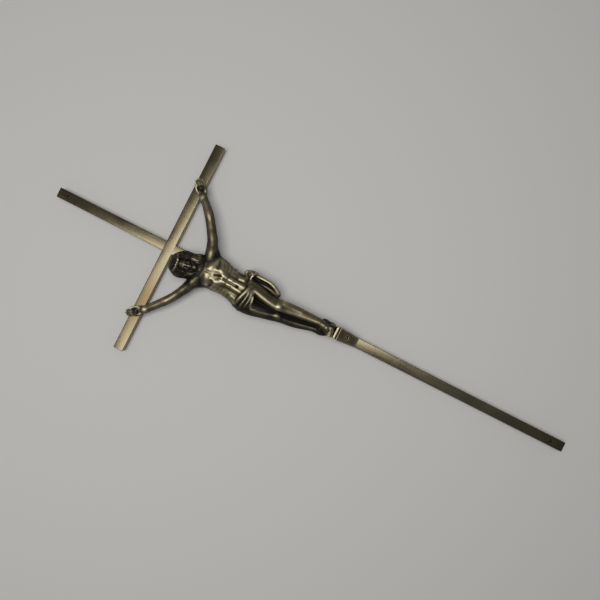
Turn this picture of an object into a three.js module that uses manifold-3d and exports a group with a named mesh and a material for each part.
// Screw-on crucifix: a long flat-bar cross with a cast figure, a cast footrest and their fixings.
// Millimetres. The cross lies on its back: X across, Y up the upright, Z out of the front.
// The origin is the centre of the crossing, on the back face of the bars.

import * as THREE from 'three';
import { mergeVertices } from 'three/addons/utils/BufferGeometryUtils.js';
import Module from 'manifold-3d';

const wasm = await Module();
wasm.setup();

// ---- Driving dimensions ----

const GAP = 0.3;                    // clearance between touching pieces
const BAR_WIDTH = 10;
const BAR_DEPTH = 8;
const BAR_CHAMFER = 0.4;
const UPRIGHT_TOP = 122.5;          // from the crossing's centre to the top end
const UPRIGHT_LENGTH = 560;
const CROSSBAR_LENGTH = 225;
const UPRIGHT_BOTTOM = UPRIGHT_TOP - UPRIGHT_LENGTH;

const FIXING_HOLE_RADIUS = 2;
const TOP_HOLE_INSET = 12;
const BOTTOM_HOLE_INSET = 15;

const PIN_RADIUS = 1;               // the two pins that lock the half-lap
const PIN_OFFSET = 2.8;
const PIN_LENGTH = 6.5;

const SEAT = BAR_DEPTH + GAP;       // where the castings' flat backs start

const NAIL_SHANK_RADIUS = 0.9;
const NAIL_HEAD_HEIGHT = 1.0;
const NAIL_POINT = 3;               // how far above the cross's back a nail ends
const RIGHT_NAIL = { x: 66, y: -3.4, top: 15.8, head: 1.3 };
const LEFT_NAIL = { x: -68.5, y: -1, top: 15.8, head: 1.3 };
const FOOT_NAIL = { x: 0, y: -173.4, top: 23.4, head: 1.7 };

const CORPUS_SCREW_Y = -62;
const CORPUS_SCREW_RADIUS = 1.5;
const CORPUS_SCREW_HEAD_RADIUS = 3;
const CORPUS_SCREW_HEAD_DEPTH = 1.8;
const CORPUS_SCREW_LENGTH = 15;

const SHELF_TOP = -183;             // the footrest's upper face, where the toes end
const SHELF_THICKNESS = 2.8;
const SHELF_WIDTH = 12.4;
const SHELF_FRONT = 18.5;
const RAMP_TOP_WIDTH = 13.8;
const RAMP_BOTTOM_WIDTH = 10.4;
const RAMP_TOP_FRONT = 16.5;
const RAMP_BOTTOM_FRONT = 9.4;
const RAMP_BOTTOM = -208.4;
const GROOVE_WIDTH = 1.2;           // the step between the shelf's edge and the ramp
const GROOVE_DEPTH = 1.6;

const FOOTREST_SCREW_Y = -196.3;
const FOOTREST_SCREW_SEAT = 11.2;
const FOOTREST_SCREW_HEAD_RADIUS = 1.35;
const FOOTREST_SCREW_HEAD_HEIGHT = 1.2;
const FOOTREST_SCREW_RADIUS = 0.9;
const FOOTREST_SCREW_POINT = 2;
const SLOT_WIDTH = 0.45;
const SLOT_DEPTH = 0.5;

const ROUND_SIDES = 20;

// ---- Solids ----

function solid(geometry) {
  const bare = geometry.clone();
  bare.deleteAttribute('normal');
  bare.deleteAttribute('uv');
  const merged = mergeVertices(bare, 1e-4);
  return new wasm.Manifold(new wasm.Mesh({
    numProp: 3,
    vertProperties: new Float32Array(merged.attributes.position.array),
    triVerts: new Uint32Array(merged.index.array),
  }));
}

function toGeometry(manifold) {
  const mesh = manifold.getMesh();
  const geometry = new THREE.BufferGeometry();
  geometry.setAttribute('position', new THREE.BufferAttribute(mesh.vertProperties, 3));
  geometry.setIndex(new THREE.BufferAttribute(mesh.triVerts, 1));
  geometry.computeVertexNormals();
  return geometry;
}

function boxBetween(low, high) {
  const size = high.map((value, axis) => value - low[axis]);
  const centre = high.map((value, axis) => (value + low[axis]) / 2);
  return solid(new THREE.BoxGeometry(...size).translate(...centre));
}

// A round piece standing along Z at (x, y), from its half outline as [radius, z] pairs.
function turned(x, y, outline) {
  const points = outline.map(([radius, z]) => new THREE.Vector2(radius, z));
  const geometry = new THREE.LatheGeometry(points, ROUND_SIDES);
  return solid(geometry.rotateX(Math.PI / 2).translate(x, y, 0));
}

function drill(x, y, radius, from, to) {
  return turned(x, y, [[0, from], [radius, from], [radius, to], [0, to]]);
}

// ---- Bars ----

// A chamfered flat bar with its back on z = 0, lying along Y from low to high.
function bar(low, high) {
  const half = BAR_WIDTH / 2;
  const section = new THREE.Shape();
  section.moveTo(-half + BAR_CHAMFER, 0);
  section.lineTo(half - BAR_CHAMFER, 0);
  section.lineTo(half, BAR_CHAMFER);
  section.lineTo(half, BAR_DEPTH - BAR_CHAMFER);
  section.lineTo(half - BAR_CHAMFER, BAR_DEPTH);
  section.lineTo(-half + BAR_CHAMFER, BAR_DEPTH);
  section.lineTo(-half, BAR_DEPTH - BAR_CHAMFER);
  section.lineTo(-half, BAR_CHAMFER);
  section.closePath();
  const geometry = new THREE.ExtrudeGeometry(section, { depth: high - low, bevelEnabled: false });
  return geometry.rotateX(Math.PI / 2).translate(0, high, 0);
}

function pinHoles() {
  return [-PIN_OFFSET, PIN_OFFSET].map((x) => drill(x, 0, PIN_RADIUS + GAP, -1, PIN_LENGTH + GAP));
}

function nailHole({ x, y }) {
  return drill(x, y, NAIL_SHANK_RADIUS + GAP, NAIL_POINT - GAP, BAR_DEPTH + 1);
}

// The upright: its front half is cut away at the crossing to let the crossbar in.
function makeUpright() {
  const lap = BAR_WIDTH / 2 + GAP;
  const cuts = [
    boxBetween([-BAR_WIDTH, -lap, (BAR_DEPTH - GAP) / 2], [BAR_WIDTH, lap, BAR_DEPTH + 1]),
    drill(0, UPRIGHT_TOP - TOP_HOLE_INSET, FIXING_HOLE_RADIUS, -1, BAR_DEPTH + 1),
    drill(0, UPRIGHT_BOTTOM + BOTTOM_HOLE_INSET, FIXING_HOLE_RADIUS, -1, BAR_DEPTH + 1),
    drill(0, FOOTREST_SCREW_Y, FOOTREST_SCREW_RADIUS + GAP, FOOTREST_SCREW_POINT - GAP, BAR_DEPTH + 1),
    nailHole(FOOT_NAIL),
    corpusScrew(GAP),
    ...pinHoles(),
  ];
  return cuts.reduce((left, cut) => left.subtract(cut), solid(bar(UPRIGHT_BOTTOM, UPRIGHT_TOP)));
}

// The crossbar: its back half is cut away at the crossing, where it lies over the upright.
function makeCrossbar() {
  const reach = CROSSBAR_LENGTH / 2;
  const lap = BAR_WIDTH / 2 + GAP;
  const cuts = [
    boxBetween([-lap, -BAR_WIDTH, -1], [lap, BAR_WIDTH, (BAR_DEPTH + GAP) / 2]),
    nailHole(LEFT_NAIL),
    nailHole(RIGHT_NAIL),
    ...pinHoles(),
  ];
  const blank = solid(bar(-reach, reach).rotateZ(Math.PI / 2));
  return cuts.reduce((left, cut) => left.subtract(cut), blank);
}

// ---- Fixings ----

function crossingPin(x) {
  return drill(x, 0, PIN_RADIUS, 0, PIN_LENGTH);
}

// A domed nail driven in from the front; grow widens it all round to cut its own clearance.
function nail({ x, y, top, head }, grow = 0) {
  const widest = head + grow;
  const shank = NAIL_SHANK_RADIUS + grow;
  const under = top - NAIL_HEAD_HEIGHT - grow;
  return turned(x, y, [
    [0, NAIL_POINT - grow],
    [shank * 0.5, NAIL_POINT - grow],
    [shank, NAIL_POINT + 1],
    [shank, under],
    [widest, under],
    [widest, under + grow + NAIL_HEAD_HEIGHT * 0.35],
    [widest * 0.72, top - NAIL_HEAD_HEIGHT * 0.2 + grow],
    [widest * 0.35, top + grow],
    [0, top + grow],
  ]);
}

function slotCut(x, y, from, to, reach) {
  return boxBetween([x - reach, y - SLOT_WIDTH / 2, from], [x + reach, y + SLOT_WIDTH / 2, to]);
}

// The countersunk screw that comes through the upright from behind into the figure's back.
function corpusScrew(grow = 0) {
  const shank = CORPUS_SCREW_RADIUS + grow;
  const head = CORPUS_SCREW_HEAD_RADIUS + grow;
  return turned(0, CORPUS_SCREW_Y, [
    [0, GAP - 2 * grow],
    [head, GAP - 2 * grow],
    [head, GAP + grow],
    [shank, GAP + CORPUS_SCREW_HEAD_DEPTH + grow],
    [shank, CORPUS_SCREW_LENGTH - 1],
    [shank * 0.4, CORPUS_SCREW_LENGTH + grow],
    [0, CORPUS_SCREW_LENGTH + grow],
  ]);
}

function makeCorpusScrew() {
  const slot = slotCut(0, CORPUS_SCREW_Y, -1, GAP + SLOT_DEPTH, CORPUS_SCREW_HEAD_RADIUS + 1);
  return corpusScrew().subtract(slot);
}

// The screw sunk in the footrest's ramp.
function makeFootrestScrew() {
  const top = FOOTREST_SCREW_SEAT + GAP + FOOTREST_SCREW_HEAD_HEIGHT;
  const body = turned(0, FOOTREST_SCREW_Y, [
    [0, FOOTREST_SCREW_POINT],
    [FOOTREST_SCREW_RADIUS * 0.5, FOOTREST_SCREW_POINT],
    [FOOTREST_SCREW_RADIUS, FOOTREST_SCREW_POINT + 1],
    [FOOTREST_SCREW_RADIUS, FOOTREST_SCREW_SEAT + GAP],
    [FOOTREST_SCREW_HEAD_RADIUS, FOOTREST_SCREW_SEAT + GAP],
    [FOOTREST_SCREW_HEAD_RADIUS, top - 0.4],
    [FOOTREST_SCREW_HEAD_RADIUS - 0.4, top],
    [0, top],
  ]);
  const slot = slotCut(0, FOOTREST_SCREW_Y, top - SLOT_DEPTH, top + 1, FOOTREST_SCREW_HEAD_RADIUS + 1);
  return body.subtract(slot);
}

// ---- Footrest ----

// A shelf under the toes, and below it a tapering ramp that runs down to the bar.
function makeFootrest() {
  const shelfBottom = SHELF_TOP - SHELF_THICKNESS;
  const rampTop = shelfBottom - GROOVE_WIDTH;
  const profile = new THREE.Shape();
  profile.moveTo(SHELF_TOP, SEAT);
  profile.lineTo(SHELF_TOP, SHELF_FRONT - 0.5);
  profile.lineTo(SHELF_TOP - 0.5, SHELF_FRONT);
  profile.lineTo(shelfBottom + 0.5, SHELF_FRONT);
  profile.lineTo(shelfBottom, SHELF_FRONT - 0.5);
  profile.lineTo(shelfBottom, RAMP_TOP_FRONT - GROOVE_DEPTH);
  profile.lineTo(rampTop, RAMP_TOP_FRONT - GROOVE_DEPTH);
  profile.lineTo(rampTop, RAMP_TOP_FRONT);
  profile.lineTo(RAMP_BOTTOM, RAMP_BOTTOM_FRONT);
  profile.lineTo(RAMP_BOTTOM, SEAT);
  profile.closePath();
  const wide = RAMP_TOP_WIDTH + 2;
  const side = new THREE.ExtrudeGeometry(profile, { depth: wide, bevelEnabled: false });
  // The profile is drawn as (y, z); this turn puts its depth along X.
  const swap = new THREE.Matrix4().set(0, 0, 1, -wide / 2, 1, 0, 0, 0, 0, 1, 0, 0, 0, 0, 0, 1);
  const plan = new THREE.Shape();
  plan.moveTo(-SHELF_WIDTH / 2, SHELF_TOP + 1);
  plan.lineTo(-SHELF_WIDTH / 2, shelfBottom);
  plan.lineTo(-RAMP_TOP_WIDTH / 2, shelfBottom);
  plan.lineTo(-RAMP_BOTTOM_WIDTH / 2, RAMP_BOTTOM - 1);
  plan.lineTo(RAMP_BOTTOM_WIDTH / 2, RAMP_BOTTOM - 1);
  plan.lineTo(RAMP_TOP_WIDTH / 2, shelfBottom);
  plan.lineTo(SHELF_WIDTH / 2, shelfBottom);
  plan.lineTo(SHELF_WIDTH / 2, SHELF_TOP + 1);
  plan.closePath();
  const outline = new THREE.ExtrudeGeometry(plan, { depth: SHELF_FRONT + 2, bevelEnabled: false });
  const counterbore = FOOTREST_SCREW_HEAD_RADIUS + GAP;
  return solid(side.applyMatrix4(swap))
    .intersect(solid(outline))
    .subtract(drill(0, FOOTREST_SCREW_Y, FOOTREST_SCREW_RADIUS + GAP, SEAT - 1, SHELF_FRONT))
    .subtract(drill(0, FOOTREST_SCREW_Y, counterbore, FOOTREST_SCREW_SEAT, SHELF_FRONT));
}

// ---- Figure ----

// A limb with an oval section, swept through hand-set stations [x, y, z, halfWidth, halfDepth].
function limb(stations, rings = 12, sides = 12) {
  const centres = stations.map(([x, y, z]) => new THREE.Vector3(x, y, z));
  const ovals = stations.map(([, , , width, depth]) => new THREE.Vector3(width, depth, 0));
  const path = new THREE.CatmullRomCurve3(centres);
  const sizes = new THREE.CatmullRomCurve3(ovals);
  const geometry = new THREE.SphereGeometry(1, sides, rings);
  const position = geometry.attributes.position;
  for (let i = 0; i < position.count; i += 1) {
    const unit = new THREE.Vector3().fromBufferAttribute(position, i);
    const along = (1 - unit.y) / 2;
    const swell = Math.sqrt(Math.max(0, 1 - Math.pow(unit.y, 4)));
    const round = Math.hypot(unit.x, unit.z) || 1;
    const size = sizes.getPoint(along);
    const tangent = path.getTangent(along);
    const front = new THREE.Vector3(0, 0, 1).addScaledVector(tangent, -tangent.z).normalize();
    const across = new THREE.Vector3().crossVectors(front, tangent);
    const point = path.getPoint(along)
      .addScaledVector(across, (unit.x / round) * swell * size.x)
      .addScaledVector(front, (unit.z / round) * swell * size.y);
    position.setXYZ(i, point.x, point.y, point.z);
  }
  return solid(geometry);
}

function blob(x, y, z, halfX, halfY, halfZ, turn = 0, sides = 12, rings = 8) {
  const geometry = new THREE.SphereGeometry(1, sides, rings).rotateX(Math.PI / 2);
  return solid(geometry.scale(halfX, halfY, halfZ).rotateZ(turn).translate(x, y, z));
}

function makeTorso() {
  return [
    limb([
      [-4, -40, 17, 5, 5],
      [-2, -45, 17, 14, 7.8],
      [-1.5, -52, 17, 16.5, 9],
      [-2.2, -60, 17, 16, 9],
      [-3.6, -70, 16, 14.6, 8.5],
      [-5.2, -80, 15.5, 15.5, 8.5],
      [-6.2, -89, 15.5, 17, 8.8],
      [-7, -97, 16, 15.5, 8],
    ], 16, 18),
    limb([[-5, -34, 21, 4.6, 5], [-4, -40, 18.5, 5, 5], [-3, -46, 17, 6, 5]], 8),
  ];
}

// The arms run out and up from the shoulders to the crossbar, palms forward, fingers curled.
function makeArms() {
  const right = limb([
    [4, -43, 17, 6, 5.5],
    [14, -41, 17, 5.6, 5.6],
    [25.5, -36.5, 16.5, 4.6, 4.6],
    [36, -29.7, 15.5, 4, 4],
    [46, -22.6, 15, 4, 3.9],
    [54, -15, 14, 3.4, 3.3],
    [60.5, -8.6, 13, 2.6, 2.6],
  ], 16);
  const left = limb([
    [-9, -42, 17, 6, 5.5],
    [-18, -38.5, 17, 5.6, 5.6],
    [-27, -34.9, 16.5, 4.6, 4.6],
    [-36.5, -30.2, 15.5, 4.1, 4],
    [-47.4, -22.4, 15, 4, 3.9],
    [-56.8, -14.2, 14, 3.4, 3.3],
    [-63.8, -6.8, 13, 2.6, 2.6],
  ], 16);
  const rightHand = limb([
    [57.8, -10.8, 12.8, 2.6, 2.6],
    [61.6, -7.4, 12.4, 3.2, 3],
    [66.4, -3.4, 12, 4.4, 3.4],
    [70.4, 0.4, 12.6, 4, 3.6],
    [73.2, 4, 12.8, 2.8, 3],
  ], 10);
  const leftHand = limb([
    [-62, -9.2, 12.8, 2.6, 2.6],
    [-65.4, -5, 12.4, 3.2, 3],
    [-69, -0.4, 12, 4.4, 3.4],
    [-72.6, 3.8, 12.8, 4.2, 3.8],
    [-75.2, 7.2, 12.8, 2.8, 3],
  ], 10);
  return [right, left, rightHand, leftHand];
}

function makeLegs() {
  const front = limb([
    [2, -88, 16, 8.4, 7],
    [0.6, -99, 17, 7.8, 7],
    [-1.4, -110, 18.6, 6.8, 6.4],
    [-2.6, -121, 19.8, 5.8, 5.8],
    [-1.9, -131, 18.6, 5.8, 5.6],
    [-1.1, -140, 17.4, 5.3, 5],
    [-0.3, -150, 17, 4.5, 4.4],
    [0.4, -160, 16.8, 3.8, 3.8],
    [1, -168, 16.6, 3.6, 3.6],
  ], 20);
  const back = limb([
    [-14, -88, 15, 9.4, 7],
    [-15.2, -98, 15.8, 8, 7],
    [-14.4, -109, 17, 6.8, 6.2],
    [-12.6, -119, 17.6, 6, 5.6],
    [-11.4, -127, 17.4, 5.4, 5.4],
    [-10.8, -136, 15.8, 5.2, 5],
    [-9.8, -145, 15, 4.6, 4.6],
    [-7.8, -155, 14.4, 3.9, 3.9],
    [-5.4, -166, 14, 3.4, 3.4],
  ], 20);
  const frontFoot = limb([
    [1.6, -164, 16, 3.6, 3.8],
    [1.2, -170, 17.4, 4.4, 4.4],
    [-0.4, -176, 18, 4.3, 3.6],
    [-1.6, -182.4, 18, 3.6, 2.6],
  ], 10);
  const backFoot = limb([
    [-7.4, -166, 13.4, 3, 3.6],
    [-5, -171, 13.2, 4.6, 4],
    [1, -175, 13, 5, 3.8],
    [3.6, -179, 13, 4, 3.4],
  ], 10);
  const heel = blob(4.4, -170.5, 13.4, 3.8, 3.6, 3.4);
  return [front, back, frontFoot, backFoot, heel];
}

// A bowed head with long hair to the shoulders and a short beard.
function makeHead() {
  const lean = -0.17;
  return [
    blob(-7.4, -24.4, 24, 8.6, 11, 9.6, lean, 16, 12),
    blob(-8.4, -20.6, 21.6, 11.6, 10.4, 9.4, lean, 14, 10),
    blob(-5.4, -34.2, 26.6, 4.4, 4.6, 5.2, lean),
    blob(-6.2, -28.4, 33, 1.2, 2.8, 2.2, lean, 8, 6),
    limb([[-15.5, -15, 20, 4, 5], [-19, -24, 18.5, 3.4, 5.4], [-17.5, -33, 17.5, 4, 5.4], [-14.6, -42, 18, 3, 3.6]]),
    limb([[-1, -15, 20, 4, 5], [2.6, -24, 18.5, 3.4, 5.4], [4.4, -33, 17.5, 4.4, 5.4], [5, -40.5, 18, 3.2, 3.6]]),
  ];
}

// The loincloth: a slanting roll round the hips, a knot at the side and a hanging end.
function makeLoincloth() {
  return [
    limb([[-22, -85, 15, 4, 5.6], [-14, -87, 19.4, 4.6, 5.4], [-5, -89.5, 20.4, 4.8, 5.2], [4, -90, 19, 4.4, 5.2],
      [12, -86, 15.4, 4.2, 5]], 12),
    limb([[-22.4, -92, 14, 3.6, 5], [-14, -94.5, 18.4, 4.2, 5.4], [-5, -94.5, 19, 4, 5], [3, -92.5, 18.6, 4, 5]], 10),
    blob(12.6, -84.6, 17.4, 4.6, 5.6, 5.2),
    limb([[11.6, -86, 16, 4, 4.4], [12.4, -97, 15, 4.4, 4.6], [11, -107, 14.4, 4.6, 4.2], [7.4, -117.6, 14, 4, 3.2]], 12),
  ];
}

function makeCorpus() {
  const lumps = [...makeTorso(), ...makeArms(), ...makeLegs(), ...makeHead(), ...makeLoincloth()];
  const figure = lumps.reduce((whole, lump) => whole.add(lump));
  const behind = boxBetween([-150, -250, -50], [150, 50, SEAT]);
  const shelf = boxBetween([-20, SHELF_TOP - 20, 0], [20, SHELF_TOP + GAP, 60]);
  const cuts = [behind, shelf, nail(LEFT_NAIL, GAP), nail(RIGHT_NAIL, GAP), nail(FOOT_NAIL, GAP), corpusScrew(GAP)];
  return cuts.reduce((left, cut) => left.subtract(cut), figure);
}

// ---- Assembly ----

const BRASS = { color: 0x7d6b4a, roughness: 0.38, metalness: 1 };
const DARK_BRASS = { color: 0x5a4a31, roughness: 0.42, metalness: 1 };
const BRIGHT_BRASS = { color: 0xa08c62, roughness: 0.3, metalness: 1 };

const cross = new THREE.Group();

function addPiece(name, manifold, finish) {
  const piece = new THREE.Mesh(toGeometry(manifold), new THREE.MeshStandardMaterial(finish));
  piece.name = name;
  cross.add(piece);
}

addPiece('upright_bar', makeUpright(), BRASS);
addPiece('crossbar', makeCrossbar(), BRASS);
addPiece('crossing_pin_left', crossingPin(-PIN_OFFSET), BRASS);
addPiece('crossing_pin_right', crossingPin(PIN_OFFSET), BRASS);
addPiece('corpus', makeCorpus(), DARK_BRASS);
addPiece('corpus_screw', makeCorpusScrew(), BRIGHT_BRASS);
addPiece('left_hand_nail', nail(LEFT_NAIL), BRIGHT_BRASS);
addPiece('right_hand_nail', nail(RIGHT_NAIL), BRIGHT_BRASS);
addPiece('foot_nail', nail(FOOT_NAIL), BRIGHT_BRASS);
addPiece('footrest', makeFootrest(), DARK_BRASS);
addPiece('footrest_screw', makeFootrestScrew(), BRIGHT_BRASS);

export default cross;
